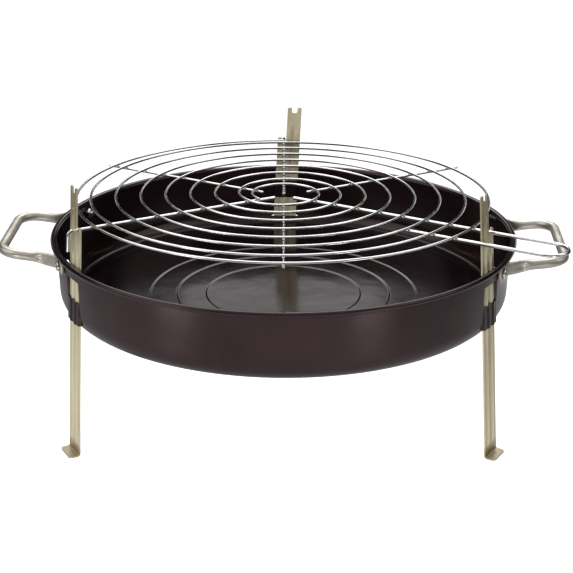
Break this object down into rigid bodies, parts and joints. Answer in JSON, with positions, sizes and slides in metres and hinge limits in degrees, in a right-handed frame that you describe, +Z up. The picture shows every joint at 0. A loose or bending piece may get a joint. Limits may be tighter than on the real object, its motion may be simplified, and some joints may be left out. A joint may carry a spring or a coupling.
{
  "type": "portable tabletop grill",
  "caption": "Round tabletop charcoal grill with an enamelled fire bowl, strip legs woven through wall straps, a lift-off spiral-wire grid and carrying handles.",
  "frame": {"origin": "centre of the flat underside of the fire bowl's middle disc, on the bowl's axis", "axes": "+Z up along the bowl's axis, -Y to the front between the two front legs, +X to the right, the side the grid's handle points to"},
  "size_m": [0.436, 0.3672, 0.2066],
  "materials": {
    "enamel": "glossy dark brown-black stove enamel",
    "yellow_zinc": "satin yellow-passivated zinc on steel strip",
    "chrome_wire": "bright chrome plate on drawn wire",
    "nickel_tube": "satin nickel plate",
    "bright_zinc": "bright zinc plate"
  },
  "bodies": {
    "bowl": {"fire_bowl": "enamel", "bowl_handle_left": "nickel_tube", "bowl_handle_right": "nickel_tube", "handle_screw_left_front": "bright_zinc", "handle_screw_left_rear": "bright_zinc", "handle_screw_right_front": "bright_zinc", "handle_screw_right_rear": "bright_zinc", "handle_nut_left_front": "bright_zinc", "handle_nut_left_rear": "bright_zinc", "handle_nut_right_front": "bright_zinc", "handle_nut_right_rear": "bright_zinc"},
    "leg_left": {"leg_left": "yellow_zinc"},
    "leg_right": {"leg_right": "yellow_zinc"},
    "leg_rear": {"leg_rear": "yellow_zinc"},
    "grid": {"grid_spiral": "chrome_wire", "spoke_rear": "chrome_wire", "spoke_left_front": "chrome_wire", "spoke_front": "chrome_wire", "spoke_left_back": "chrome_wire", "spoke_right_back": "chrome_wire", "grid_handle": "chrome_wire"}
  },
  "joints": [
    {"name": "grid_lift", "type": "slide", "parent": "bowl", "child": "grid", "axis": [0, 0, 1], "range_m": [0, 0.09]},
    {"name": "leg_left_slide", "type": "slide", "parent": "bowl", "child": "leg_left", "axis": [-0.0441, -0.024, -0.9987], "range_m": [0, 0.13]},
    {"name": "leg_right_slide", "type": "slide", "parent": "bowl", "child": "leg_right", "axis": [0.0674, 0.014, -0.9976], "range_m": [0, 0.13]},
    {"name": "leg_rear_slide", "type": "slide", "parent": "bowl", "child": "leg_rear", "axis": [-0.0458, 0.0513, -0.9976], "range_m": [0, 0.13]}
  ]
}
